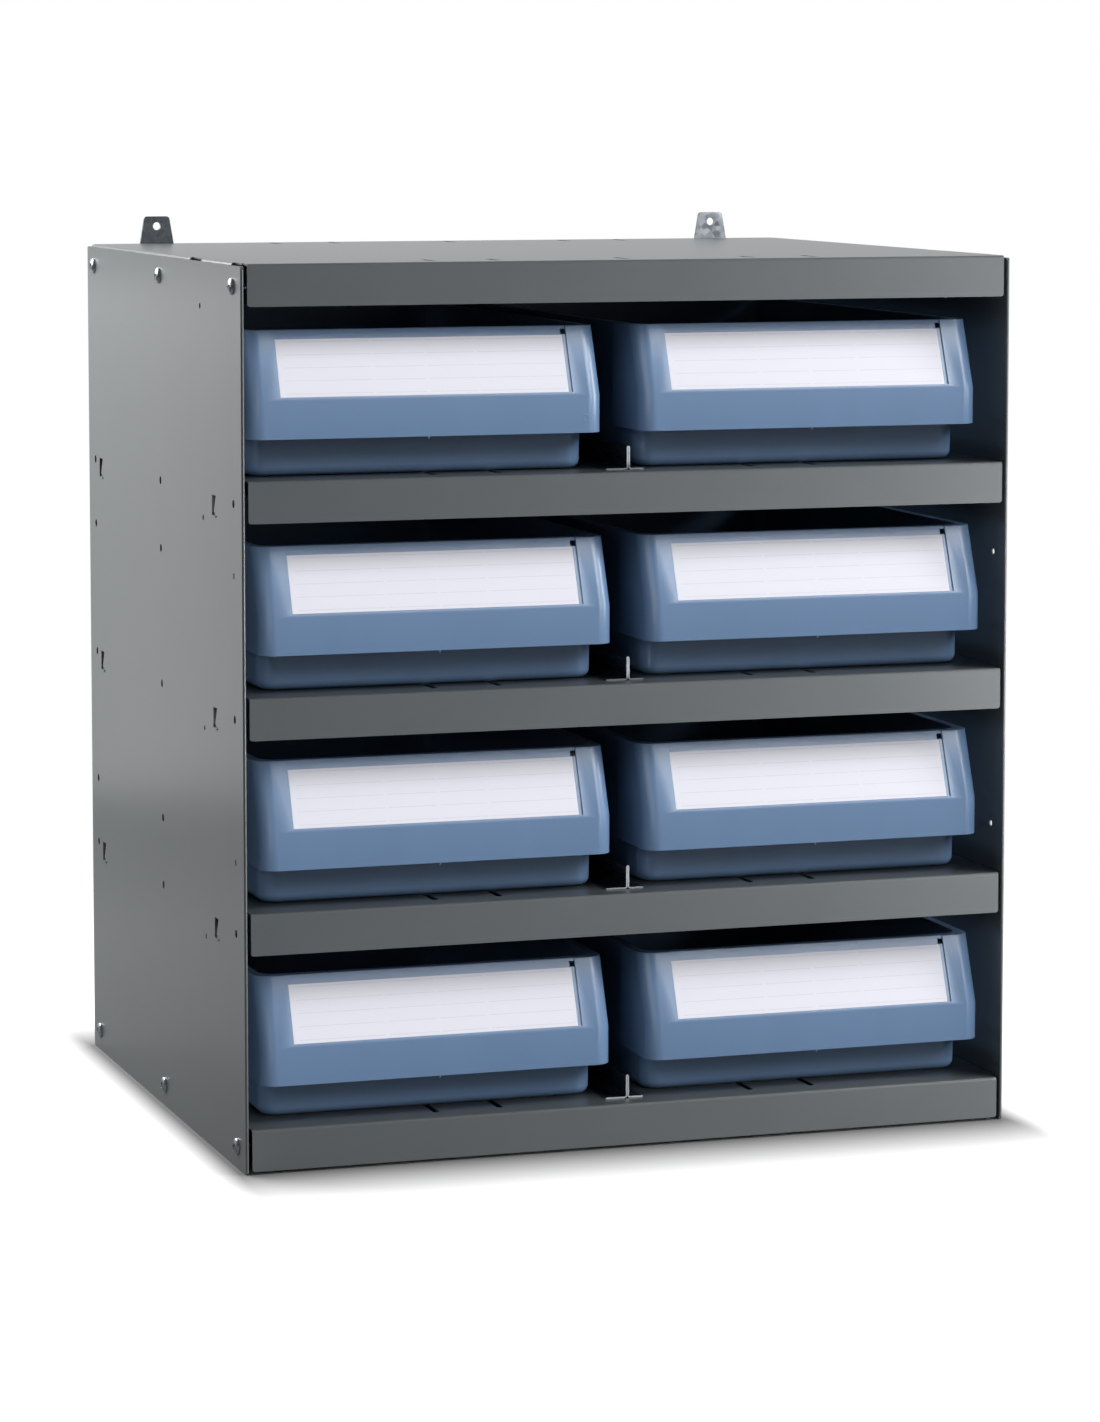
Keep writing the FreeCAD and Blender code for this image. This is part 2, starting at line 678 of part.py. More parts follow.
def make_panel_nuts(doc):
    """The six nuts behind the side flanges on the right."""
    place = (f"{SIDE_FACE} - 2 * sheet", f"{FRONT} + column_setback", "first_row")
    body = new_body(doc, "panel_nuts_right", place)
    hexagon = Drawing(body, "nut_outline", "YZ_Plane")
    corner = "nut_flats / 2 / cos(30)"
    hexagon.outline([(f"{corner} * cos({60 * n})", f"{corner} * sin({60 * n})") for n in range(6)])
    hexagon.circle(("0", "0"), "thread + thread_clearance")
    nut = extrude(body, "Pad", "nut", hexagon, "nut_height", reverse=True)
    repeat(body, nut, "nuts_repeated", 3, 2, "rack_depth - 2 * column_setback", SPAN)
    return body


def make_screw_pair(doc, label, place, turn, sizes):
    """Two screws at the wall brackets, one each side, with their heads towards the turned X axis."""
    body = new_body(doc, label, place)
    profile = Drawing(body, f"{label}_profile", "XY_Plane")
    turned = FreeCAD.Rotation(Vector(0, 0, 1), turn)
    profile.sketch.AttachmentOffset = FreeCAD.Placement(Vector(0, 0, 0), turned)
    profile.sketch.setExpression("AttachmentOffset.Base.x", bound(BRACKET))
    screw_profile(profile, *sizes)
    right = revolve(body, f"{label}_right", profile)
    mirror(body, right, f"{label}_left")
    return body


# Dividers


def make_divider(doc, label, at):
    """A strip folded double into a T: two feet on the deck and a fin with a rounded top."""
    body = new_body(doc, label, at)
    section = Drawing(body, f"{label}_section", "XZ_Plane")
    slit, face = "hem_gap / 2", HEM_RADIUS
    heel = f"({slit} + {OUTER_BEND})"
    crown = f"(divider_height - {face})"
    section.outline(
        [
            ("-divider_left", "0"),
            (f"-{heel}", "0"),
            (f"-{slit}", OUTER_BEND),
            (f"-{slit}", crown),
            (slit, crown),
            (slit, OUTER_BEND),
            (heel, "0"),
            ("divider_right", "0"),
            ("divider_right", "sheet"),
            (heel, "sheet"),
            (face, OUTER_BEND),
            (face, crown),
            (f"-{face}", crown),
            (f"-{face}", OUTER_BEND),
            (f"-{heel}", "sheet"),
            ("-divider_left", "sheet"),
        ],
        {
            1: (f"-{heel}", OUTER_BEND, 1),
            3: ("0", crown, -1),
            5: (heel, OUTER_BEND, 1),
            9: (heel, OUTER_BEND, -1),
            11: ("0", crown, 1),
            13: (f"-{heel}", OUTER_BEND, -1),
        },
    )
    extrude(body, "Pad", f"{label}_strip", section, "rack_depth - 2 * divider_setback", side="Symmetric")

    tabs = Drawing(body, f"{label}_tabs", "YZ_Plane", f"-{heel} - sheet")
    for y in DECK_SLOT_MIDDLES:
        tabs.rectangle(f"{y} - tab_length / 2", f"{y} + tab_length / 2", "-tab_depth", "sheet / 2")
    extrude(body, "Pad", f"{label}_deck_tabs", tabs, "sheet")
    return body


# Bins


def lean_at(height):
    """How far a drafted wall has moved outwards at a height above the floor."""
    return f"tub_draft * ({height}) / bin_height"


def tub_line(height, inset="0", end="front"):
    """Half width, end face and corner radius of the tub at a height, drawn in by inset."""
    grow = lean_at(height)
    half = f"(bin_width / 2 - tub_inset + {grow} - {inset})"
    face = {
        "front": f"(tub_setback - {grow} + {inset})",
        "back": f"(bin_length - rim_width - tub_draft + {grow} - {inset})",
    }[end]
    return half, face, f"(tub_corner + {grow} - {inset})"


def bow(drawing, outer, inner, end, sign="+"):
    """A band round three sides between two lines, each a half width, an end face and a corner radius."""
    sense = 1 if sign == "+" else -1
    points, arcs = [], {}
    for turn_sense, (half, face, turn) in ((sense, outer), (-sense, inner)):
        shoulder = f"{face} {sign} {turn}"
        left = [(f"-{half}", end), (f"-{half}", shoulder), (f"-{half} + {turn}", face)]
        right = [(f"{half} - {turn}", face), (half, shoulder), (half, end)]
        first = len(points)
        points += left + right if turn_sense == sense else right[::-1] + left[::-1]
        middles = (f"-{half} + {turn}", f"{half} - {turn}")
        for step, middle in zip((1, 3), middles if turn_sense == sense else middles[::-1]):
            arcs[first + step] = (middle, shoulder, turn_sense)
    drawing.outline(points, arcs)


def slope_point(along, outwards):
    """A point of the side view, measured along the label slope from the band and outwards from it."""
    y = f"({along}) * sin({LEAN}) - ({outwards}) * cos({LEAN})"
    z = f"band_top + ({along}) * cos({LEAN}) + ({outwards}) * sin({LEAN})"
    return (y, z)


def bin_place(level, side, gap):
    """Where a bin stands: the middle of its band at the height of its floor."""
    sign = "-" if side == "left" else ""
    return (f"{sign}(bin_width / 2 + {gap})", f"{FRONT} + bin_setback", f"{level_surface(level)} + bin_clearance")


def make_bin(doc, label, at):
    """A moulded bin: drafted tub, hood over the front, rim flange and label pocket with its push-out hole."""
    body = new_body(doc, label, at)

    def tub_outline(name, height, inset):
        drawing = Drawing(body, f"{label}_{name}", "XY_Plane", height)
        half, front, corner = tub_line(height, inset)
        back = tub_line(height, inset, "back")[1]
        drawing.rounded_rectangle(f"-{half}", half, front, back, corner)
        return drawing

    draft = bound("atan(tub_draft / bin_height)")
    tub = extrude(body, "Pad", f"{label}_tub", tub_outline("foot", "0", "0"), "bin_height")
    tub.setExpression("TaperAngle", draft)
    fillet(doc, body, f"{label}_underside", lambda edge: near(edge.BoundBox.ZMax, 0), "floor_radius")
    floor = tub_outline("floor", "bin_wall", "bin_wall")
    inside = extrude(body, "Pocket", f"{label}_inside", floor, "bin_height", reverse=True)
    inside.setExpression("TaperAngle", draft)
    wall = value(body, "bin_wall")

    def is_floor_edge(edge):
        box = edge.BoundBox
        return near(box.ZMax, wall) and near(box.ZMin, wall)

    fillet(doc, body, f"{label}_floor_corner", is_floor_edge, "floor_radius - bin_wall")

    roof = "(bin_height - bin_wall)"
    roof_front = f"(label_lean * ({roof} - band_top) / (bin_height - band_top))"
    fronts = {"hood_bottom": "0", "band_top": "0", "bin_height": "label_lean", roof: roof_front}

    def hood_band(name, height, hood_inset, tub_inset, end):
        drawing = Drawing(body, f"{label}_{name}", "XY_Plane", height)
        side, front = f"(bin_width / 2 - {hood_inset})", f"({fronts[height]} + {hood_inset})"
        outer = (side, front, f"(hood_corner - {hood_inset})")
        bow(drawing, outer, tub_line(height, tub_inset), end)
        return drawing

    hood = [
        hood_band(f"hood_{number}", height, "0", "bin_wall / 2", "hood_length")
        for number, height in enumerate(("hood_bottom", "band_top", "bin_height"))
    ]
    loft(body, "AdditiveLoft", f"{label}_hood", hood)
    hollow = [
        hood_band(f"hollow_{number}", height, "bin_wall", "0", "(hood_length - bin_wall)")
        for number, height in enumerate(("hood_bottom", "band_top", roof))
    ]
    loft(body, "SubtractiveLoft", f"{label}_hollow", hollow)

    flange = Drawing(body, f"{label}_rim_flange", "XY_Plane", "bin_height - rim_height")
    edge = ("(bin_width / 2)", "bin_length", "(tub_corner + rim_width)")
    bow(flange, edge, tub_line("bin_height", "bin_wall / 2", "back"), "hood_length / 2", "-")
    extrude(body, "Pad", f"{label}_flange", flange, "rim_height")

    pocket = Drawing(body, f"{label}_label_side_view", "YZ_Plane")
    top = f"((bin_height - band_top) / cos({LEAN}) + bin_wall)"
    pocket.outline(
        [
            slope_point("pocket_start", "bin_wall"),
            slope_point("pocket_start", "-pocket_depth"),
            slope_point(top, "-pocket_depth"),
            slope_point(top, "bin_wall"),
        ],
    )
    extrude(body, "Pocket", f"{label}_label_pocket", pocket, "pocket_width", side="Symmetric")

    notch = Drawing(body, f"{label}_push_out_side_view", "YZ_Plane", "(pocket_width - notch_width) / 2")
    notch_end = "notch_start + notch_height"
    notch.outline(
        [
            slope_point("notch_start", "bin_wall"),
            slope_point("notch_start", "-1.5 * bin_wall"),
            slope_point(notch_end, "-1.5 * bin_wall"),
            slope_point(notch_end, "bin_wall"),
        ],
    )
    extrude(body, "Pocket", f"{label}_push_out_hole", notch, "notch_width", side="Symmetric")
    return body


def make_card(doc, level, side, gap):
    """A paper card on the floor of the label pocket, pushed to its left and lower edges."""
    label = f"label_card_{level}_{side}"
    place = bin_place(level, side, gap)
    card = doc.addObject("Part::Box", label)
    card.Label = label
    card.Placement = FreeCAD.Placement(Vector(0, 0, 0), FreeCAD.Rotation(Vector(1, 0, 0), 1))
    card.setExpression("Length", bound("card_width"))
    card.setExpression("Width", bound("card_height"))
    card.setExpression("Height", bound("card_thickness"))
    along, across = slope_point("pocket_start + card_gap", "-pocket_depth")
    card.setExpression("Placement.Base.x", bound(f"{place[0]} - pocket_width / 2 + card_gap"))
    card.setExpression("Placement.Base.y", bound(f"{place[1]} + {along}"))
    card.setExpression("Placement.Base.z", bound(f"{place[2]} + {across}"))
    card.setExpression("Placement.Rotation.Angle", bound(f"90 deg - {LEAN}"))
    return card


# The whole object


def make_pieces(doc):
    """Make every piece of the rack and return those that are written out."""
    side_panel = make_side_panel(doc)
    screws = make_panel_screws(doc)
    nuts = make_panel_nuts(doc)
    bracket = make_wall_bracket(doc)
    top = make_pan(doc, "top_panel", TOP, "top_rise")
    add_rear_holes(top, "-bracket_hole_rise", "screw_hole")
    add_edge_slots(top)
    bottom = make_pan(doc, "bottom_panel", level_surface(LEVELS), "bottom_rise")
    add_rear_holes(bottom, "-bottom_rise", "small_hole")
    pieces = [
        side_panel,
        mirrored_piece(doc, "side_panel_left", side_panel),
        screws,
        mirrored_piece(doc, "panel_screws_left", screws),
        nuts,
        mirrored_piece(doc, "panel_nuts_left", nuts),
        bracket,
        mirrored_piece(doc, "wall_bracket_left", bracket),
        top,
        bottom,
        make_back_panel(doc),
    ]
    shelf = make_shelf(doc, "shelf_upper", level_surface(1))
    pieces.append(shelf)
    for level, name in ((2, "shelf_middle"), (3, "shelf_lower")):
        pieces.append(same_again(doc, name, shelf, ("0", "0", level_surface(level))))
    through = "sheet + sheet + bracket_thickness"
    bracket_place = ("0", f"{BACK_FACE} - sheet", f"{TOP} - bracket_hole_rise")
    bracket_screw = ("head_diameter - 1.5", "head_height", "head_rim", "thread", f"({through})")
    pieces.append(make_screw_pair(doc, "bracket_screws", bracket_place, -90, bracket_screw))
    foot_place = ("0", f"{BACK_FACE} + sheet", row(0))
    foot_screw = ("foot_head", "foot_head_height", "head_rim", "foot_thread", "foot_screw_length")
    pieces.append(make_screw_pair(doc, "back_panel_screws", foot_place, 90, foot_screw))
    first_divider = first_bin = None
    for level in range(1, LEVELS + 1):
        label, place = f"divider_{level}", ("divider_offset", "0", level_surface(level))
        if first_divider is None:
            first_divider = divider = make_divider(doc, label, place)
        else:
            divider = same_again(doc, label, first_divider, place)
        pieces.append(divider)
    for level, side, gap in BINS:
        label, place = f"bin_{level}_{side}", bin_place(level, side, gap)
        if first_bin is None:
            first_bin = moulding = make_bin(doc, label, place)
        else:
            moulding = same_again(doc, label, first_bin, place)
        pieces += [moulding, make_card(doc, level, side, gap)]
    return pieces


def check_pieces(doc, pieces):
    """Stop if any object of the document failed or any piece is not a sound solid."""
    for item in doc.Objects:
        if "Invalid" in item.State or "Error" in item.State:
            raise RuntimeError(f"{item.Label}: {item.State}")
    for piece in pieces:
        if piece.Shape.isNull() or not piece.Shape.isValid() or not piece.Shape.Solids:
            raise RuntimeError(f"{piece.Label}: no sound solid")


def main():
    doc = FreeCAD.newDocument("bin_rack")
    make_sheet(doc)
    pieces = make_pieces(doc)
    doc.recompute()
    check_pieces(doc, pieces)
    os.makedirs("parts", exist_ok=True)
    for piece in pieces:
        piece.Shape.exportStep(f"parts/{piece.Label}.step")
        print(f"{piece.Label}: {len(piece.Shape.Solids)} solid(s), {piece.Shape.Volume / 1000:.2f} cm3")


main()
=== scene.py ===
"""Visual model of a bin shelving rack: a grey enamelled steel rack with eight blue label-front bins."""

import math
import random

import bmesh
import bpy
from mathutils import Matrix, Vector


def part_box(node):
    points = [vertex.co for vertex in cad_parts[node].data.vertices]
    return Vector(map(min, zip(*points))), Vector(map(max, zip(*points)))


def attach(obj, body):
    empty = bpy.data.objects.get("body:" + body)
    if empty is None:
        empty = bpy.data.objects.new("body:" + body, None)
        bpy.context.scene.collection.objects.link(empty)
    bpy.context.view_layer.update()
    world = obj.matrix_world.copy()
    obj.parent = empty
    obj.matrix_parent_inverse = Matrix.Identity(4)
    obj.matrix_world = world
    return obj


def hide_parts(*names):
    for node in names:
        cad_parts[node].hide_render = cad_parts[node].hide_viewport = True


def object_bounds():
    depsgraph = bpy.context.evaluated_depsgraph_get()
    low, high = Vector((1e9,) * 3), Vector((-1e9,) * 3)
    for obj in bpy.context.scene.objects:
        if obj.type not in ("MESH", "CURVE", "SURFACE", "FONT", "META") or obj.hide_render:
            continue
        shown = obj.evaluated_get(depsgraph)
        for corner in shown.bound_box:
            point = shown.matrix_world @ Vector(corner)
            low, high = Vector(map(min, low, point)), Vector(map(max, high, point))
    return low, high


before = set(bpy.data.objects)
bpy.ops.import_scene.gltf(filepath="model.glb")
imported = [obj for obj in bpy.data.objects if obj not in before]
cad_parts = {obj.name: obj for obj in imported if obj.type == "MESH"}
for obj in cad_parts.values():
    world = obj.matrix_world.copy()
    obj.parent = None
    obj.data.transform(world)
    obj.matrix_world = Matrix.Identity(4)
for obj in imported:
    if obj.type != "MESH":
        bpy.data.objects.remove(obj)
CAD_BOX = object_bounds()

bl_info = {
    "name": "Bin shelving rack",
    "version": (1, 0, 0),
    "blender": (4, 5, 0),
    "location": "View3D > Sidebar > Bin rack",
    "description": "Dresses the packed bin shelving rack and builds its stage",
    "category": "Object",
}

MM = 0.001
LEVELS = (1, 2, 3, 4)
SIDES = ("left", "right")

SHEET_STEEL = (
    "side_panel_left",
    "side_panel_right",
    "top_panel",
    "bottom_panel",
    "shelf_upper",
    "shelf_middle",
    "shelf_lower",
    "back_panel",
)

# Which way the heads of each set of screws point, and their thread diameters in millimetres.
SCREW_DIRECTIONS = {
    "panel_screws_left": (-1, 0, 0),
    "panel_screws_right": (1, 0, 0),
    "bracket_screws": (0, -1, 0),
    "back_panel_screws": (0, 1, 0),
}
SCREW_THREADS = {
    "panel_screws_left": 5.0,
    "panel_screws_right": 5.0,
    "bracket_screws": 5.0,
    "back_panel_screws": 3.9,
}

# The lower edge of the band above the floor of a bin, the one bin with a round mould mark on its band,
# where that mark sits, in from the right side and up from the lower edge of the band, and the gate mark's radius.
BAND_BOTTOM = 25.5 * MM
RINGED_BIN = (1, "left")
RING_IN, RING_UP = 12.5 * MM, 9.8 * MM
NUB_RADIUS = 1.1 * MM

# The printed area of a card, in millimetres from its left and upper edges: five dotted lines with three gaps.
FIRST_LINE, LINE_PITCH, DOT_PITCH, DOT_LENGTH = 2.1, 8.8, 1.0, 0.62
PRINT_LEFT, PRINT_RIGHT = 4.2, 193.5
LINE_GAPS, HALF_GAP = (64.0, 100.0, 134.0), 1.2

# Box lamps, aimed at the middle of the rack: name, place, width and height in metres, and power in watts.
AIM = (0, 0, 0.3)
BOX_LAMPS = (
    ("side_strip", (1.6, -0.65, 1.0), 0.3, 0.7, 14),
    ("key_strip", (1.6, -1.25, 1.95), 0.35, 0.9, 15),
    ("front_box", (1.38, -1.5, 0.12), 0.5, 0.24, 25),
    ("bracket_box", (1.15, -1.7, 0.75), 0.3, 0.3, 4.5),
    ("top_box", (0.35, 0.5, 1.7), 0.7, 0.7, 9),
    ("left_box", (-0.8, 0.7, 1.0), 0.8, 0.8, 18),
    ("sheen_box", (-0.52, 0.75, 0.32), 0.35, 0.45, 0.4),
)
STEEL_ONLY = ("front_box", "bracket_box")
NO_REFLECTION = ("top_box",)

# Far soft lamps for the bins alone: name, degrees to the right of the front, degrees up, spread and strength.
BIN_LAMPS = (
    ("right_sheen", 40, 36, 34, 2.4),
    ("left_sheen", -52, 26, 40, 0.65),
    ("front_fill", 24, 20, 60, 0.5),
)

# The camera that the photo was taken with, in metres, degrees and millimetres.
CAMERA_PLACE = (-1.0054, -3.0792, 0.6919)
CAMERA_DOWN, CAMERA_TURN = 5.40, -18.322
LENS, SENSOR, SHIFT = 117.14, 36.0, -0.12


# Colours and nodes


def linear(hex_colour, alpha=1.0):
    """The linear colour that Blender works in, from an sRGB hex value."""
    channels = [int(hex_colour[i : i + 2], 16) / 255 for i in (1, 3, 5)]
    return (*(c / 12.92 if c <= 0.04045 else ((c + 0.055) / 1.055) ** 2.4 for c in channels), alpha)


def add_node(tree, kind, settings=None, inputs=None):
    """Add one node, with its own settings, and values or sockets for its inputs."""
    node = tree.nodes.new(kind)
    for name, value in (settings or {}).items():
        setattr(node, name, value)
    for name, value in (inputs or {}).items():
        socket = node.inputs[name]
        if isinstance(value, bpy.types.NodeSocket):
            tree.links.new(value, socket)
        else:
            socket.default_value = value
    return node


def new_material(name):
    """An empty node material with its output, ready for its shader."""
    material = bpy.data.materials.new(name)
    material.use_nodes = True
    tree = material.node_tree
    tree.nodes.clear()
    output = add_node(tree, "ShaderNodeOutputMaterial")
    return material, tree, output


def finish_material(tree, output, shader):
    """Join a shader to the material's output."""
    tree.links.new(shader.outputs[0], output.inputs["Surface"])


def noise(tree, place, size_mm, detail=2.0, roughness=0.5):
    """Noise whose grain has a real size in millimetres."""
    inputs = {"Vector": place, "Scale": 1 / (size_mm * MM), "Detail": detail, "Roughness": roughness}
    return add_node(tree, "ShaderNodeTexNoise", None, inputs).outputs["Fac"]


def remap(tree, source, low, high, new_low, new_high):
    """Spread the part of a value between low and high over a new range."""
    inputs = {"Value": source, "From Min": low, "From Max": high, "To Min": new_low, "To Max": new_high}
    return add_node(tree, "ShaderNodeMapRange", None, inputs).outputs["Result"]


def math_node(tree, operation, first, second):
    """One step of arithmetic on values or sockets."""
    return add_node(tree, "ShaderNodeMath", {"operation": operation}, {0: first, 1: second}).outputs[0]


def mapped(tree, place, scale):
    """Coordinates stretched by a scale on each axis."""
    return add_node(tree, "ShaderNodeMapping", None, {"Vector": place, "Scale": scale}).outputs["Vector"]


def bumped(tree, height, strength, depth_mm):
    """A normal shaken by a height pattern of some depth."""
    inputs = {"Height": height, "Strength": strength, "Distance": depth_mm * MM}
    return add_node(tree, "ShaderNodeBump", None, inputs).outputs["Normal"]


def tint(tree, share, colour, other):
    """Mix two colours by a share. The first is a hex value or a socket, the second a hex value."""
    first = linear(colour) if isinstance(colour, str) else colour
    inputs = {"Factor": share, 6: first, 7: linear(other)}
    return add_node(tree, "ShaderNodeMix", {"data_type": "RGBA"}, inputs).outputs[2]


def enamel_material(settings):
    """Semi-gloss polyester powder coat on sheet steel: an even grey with faint orange peel."""
    material, tree, output = new_material("grey_powder_coat")
    place = add_node(tree, "ShaderNodeTexCoord").outputs["Object"]
    cloud = noise(tree, place, 40, 3.0)
    colour = tint(tree, cloud, settings.enamel_colour_hex, "#5C6163")
    bump = bumped(tree, noise(tree, place, 2.4, 0.0), 0.05, 0.05)
    shader = add_node(
        tree,
        "ShaderNodeBsdfPrincipled",
        None,
        {"Base Color": colour, "Roughness": 0.285, "IOR": 1.5, "Normal": bump},
    )
    finish_material(tree, output, shader)
    return material


def zinc_material():
    """Galvanised sheet steel: pale metal with soft spangles a few millimetres wide."""
    material, tree, output = new_material("galvanised_steel")
    place = add_node(tree, "ShaderNodeTexCoord").outputs["Object"]
    spangle = add_node(
        tree, "ShaderNodeTexVoronoi", None, {"Vector": place, "Scale": 1 / (4.5 * MM), "Randomness": 1.0}
    )
    shade = add_node(tree, "ShaderNodeSeparateColor", None, {"Color": spangle.outputs["Color"]}).outputs[0]
    colour = tint(tree, shade, "#8E9398", "#686D73")
    rough = remap(tree, shade, 0.0, 1.0, 0.30, 0.46)
    bump = bumped(tree, noise(tree, place, 0.8, 2.0), 0.15, 0.05)
    shader = add_node(
        tree,
        "ShaderNodeBsdfPrincipled",
        None,
        {"Base Color": colour, "Metallic": 1.0, "Roughness": rough, "Normal": bump},
    )
    finish_material(tree, output, shader)
    return material


def divider_material():
    """Rolled steel strip, thinly zinc plated: smoother than the brackets, with fine lengthwise marks."""
    material, tree, output = new_material("rolled_steel_strip")
    place = add_node(tree, "ShaderNodeTexCoord").outputs["Object"]
    marks = noise(tree, mapped(tree, place, (1.0, 0.03, 1.0)), 0.9, 3.0)
    colour = tint(tree, marks, "#8E9398", "#767B80")
    rough = remap(tree, marks, 0.3, 0.7, 0.24, 0.34)
    shader = add_node(
        tree, "ShaderNodeBsdfPrincipled", None, {"Base Color": colour, "Metallic": 1.0, "Roughness": rough}
    )
    finish_material(tree, output, shader)
    return material


def sheared_edge_highlight_material():
    """The cut ends of the divider strip: broken metal, rougher than its rolled faces, and painted paler than them
    as a highlight where the ends catch the light.
    """
    material, tree, output = new_material("sheared_steel_edge_painted_highlight")
    place = add_node(tree, "ShaderNodeTexCoord").outputs["Object"]
    colour = tint(tree, noise(tree, place, 1.5, 2.0), "#B4B8BC", "#9A9EA3")
    shader = add_node(
        tree, "ShaderNodeBsdfPrincipled", None, {"Base Color": colour, "Metallic": 1.0, "Roughness": 0.6}
    )
    finish_material(tree, output, shader)
    return material


def plated_material():
    """Bright zinc plating on cold-headed screws and nuts: shiny, with dull spots."""
    material, tree, output = new_material("zinc_plated_fasteners")
    place = add_node(tree, "ShaderNodeTexCoord").outputs["Object"]
    spots = noise(tree, place, 1.2, 3.0)
    colour = tint(tree, remap(tree, spots, 0.4, 0.7, 0.0, 1.0), "#A4A9AE", "#84898F")
    rough = remap(tree, spots, 0.3, 0.7, 0.2, 0.32)
    shader = add_node(
        tree, "ShaderNodeBsdfPrincipled", None, {"Base Color": colour, "Metallic": 1.0, "Roughness": rough}
    )
    finish_material(tree, output, shader)
    return material


def polypropylene_material(settings):
    """Injection-moulded polypropylene in slate blue: satin and waxy, with faint flow marks and streaks."""
    material, tree, output = new_material("moulded_polypropylene")
    place = add_node(tree, "ShaderNodeTexCoord").outputs["Object"]
    flow = noise(tree, mapped(tree, place, (1.0, 1.0, 0.12)), 30, 1.0)
    streaks = noise(tree, mapped(tree, place, (1.0, 0.03, 0.03)), 3.2, 2.0)
    colour = tint(tree, remap(tree, flow, 0.0, 1.0, 0.0, 0.9), settings.bin_colour_hex, "#5A7391")
    rough = remap(tree, flow, 0.0, 1.0, 0.26, 0.34)
    shader = add_node(
        tree,
        "ShaderNodeBsdfPrincipled",
        None,
        {
            "Base Color": colour,
            "Roughness": rough,
            "IOR": 1.49,
            "Subsurface Weight": 0.08,
            "Subsurface Radius": (0.4 * MM, 0.6 * MM, 1.2 * MM),
            "Subsurface Scale": 1.0,
            "Normal": bumped(tree, streaks, 0.03, 0.03),
        },
    )
    finish_material(tree, output, shader)
    return material


def card_material(settings):
    """Uncoated white card with five dotted writing lines, drawn on the card's own UV map in millimetres."""
    material, tree, output = new_material("white_card_dotted_lines")
    place = add_node(tree, "ShaderNodeUVMap", {"uv_map": "card_mm"}).outputs["UV"]
    parts = add_node(tree, "ShaderNodeSeparateXYZ", None, {"Vector": place})
    across, down = parts.outputs["X"], parts.outputs["Y"]
    phase = math_node(tree, "DIVIDE", math_node(tree, "SUBTRACT", down, FIRST_LINE), LINE_PITCH)
    whole = math_node(tree, "ROUND", phase, 0.0)
    nearest = math_node(tree, "ABSOLUTE", math_node(tree, "SUBTRACT", phase, whole), 0.0)
    dot_phase = math_node(tree, "FRACT", math_node(tree, "DIVIDE", across, DOT_PITCH), 0.0)
    printed = math_node(tree, "LESS_THAN", nearest, settings.line_width / LINE_PITCH / 2)
    limits = [
        math_node(tree, "LESS_THAN", dot_phase, DOT_LENGTH),
        math_node(tree, "GREATER_THAN", across, PRINT_LEFT),
        math_node(tree, "LESS_THAN", across, PRINT_RIGHT),
    ]
    for gap in LINE_GAPS:
        away = math_node(tree, "ABSOLUTE", math_node(tree, "SUBTRACT", across, gap), 0.0)
        limits.append(math_node(tree, "GREATER_THAN", away, HALF_GAP))
    for limit in limits:
        printed = math_node(tree, "MULTIPLY", printed, limit)
    # The map is in millimetres, not metres, so the paper's grain is 0.9 mm.
    fibre = noise(tree, place, 0.9 / MM, 3.0)
    paper = tint(tree, remap(tree, fibre, 0.3, 0.7, 0.0, 0.4), settings.card_colour_hex, "#C5C5CF")
    colour = tint(tree, math_node(tree, "MULTIPLY", printed, 0.8), paper, "#ACACB6")
    shader = add_node(
        tree, "ShaderNodeBsdfPrincipled", None, {"Base Color": colour, "Roughness": 0.75, "IOR": 1.5}
    )
    finish_material(tree, output, shader)
    return material


def floor_material(settings):
    """Pale paper sweep that takes the rack's shadow. To the camera it is white away from the rack; near the rack
    its camera-only white fades out, which paints a soft shadow over the real one.
    """
    material, tree, output = new_material("pale_paper_sweep")
    diffuse = add_node(tree, "ShaderNodeBsdfDiffuse", None, {"Color": linear(settings.floor_colour_hex)})
    place = add_node(tree, "ShaderNodeTexCoord").outputs["Object"]
    distance = add_node(tree, "ShaderNodeVectorMath", {"operation": "LENGTH"}, {0: place}).outputs["Value"]
    far = remap(tree, distance, 0.45, 0.95, 0.0, 1.0)
    seen = add_node(tree, "ShaderNodeLightPath").outputs["Is Camera Ray"]
    high = CAD_BOX[1]
    parts = add_node(tree, "ShaderNodeSeparateXYZ", None, {"Vector": place})
    beside = math_node(tree, "SUBTRACT", math_node(tree, "ABSOLUTE", parts.outputs["X"], 0.0), high.x)
    before = math_node(tree, "SUBTRACT", math_node(tree, "ABSOLUTE", parts.outputs["Y"], 0.0), high.y)
    # Painted shadow: the camera-only lift fades to nothing towards the rack's footprint, darkening the floor
    # round the base beyond its real shadow.
    clear_beside = remap(tree, beside, 0.0, settings.shadow_beside, 0.0, 1.0)
    clear_before = remap(tree, before, 0.0, settings.shadow_before, 0.0, 1.0)
    squares = [math_node(tree, "MULTIPLY", share, share) for share in (clear_beside, clear_before)]
    clear = math_node(tree, "SQRT", math_node(tree, "ADD", *squares), 0.0)
    clear = math_node(tree, "MINIMUM", clear, 1.0)
    lift = math_node(tree, "MULTIPLY", math_node(tree, "MULTIPLY", seen, clear), settings.floor_lift)
    glow = add_node(tree, "ShaderNodeEmission", None, {"Color": (1, 1, 1, 1), "Strength": lift})
    shadowed = add_node(tree, "ShaderNodeAddShader", None, {0: diffuse.outputs[0], 1: glow.outputs[0]})
    white = add_node(tree, "ShaderNodeEmission", None, {"Color": (1, 1, 1, 1), "Strength": 1.0})
    share = math_node(tree, "MULTIPLY", far, seen)
    mixed = add_node(
        tree, "ShaderNodeMixShader", None, {0: share, 1: shadowed.outputs[0], 2: white.outputs[0]}
    )
    finish_material(tree, output, mixed)
    return material


# Mesh helpers


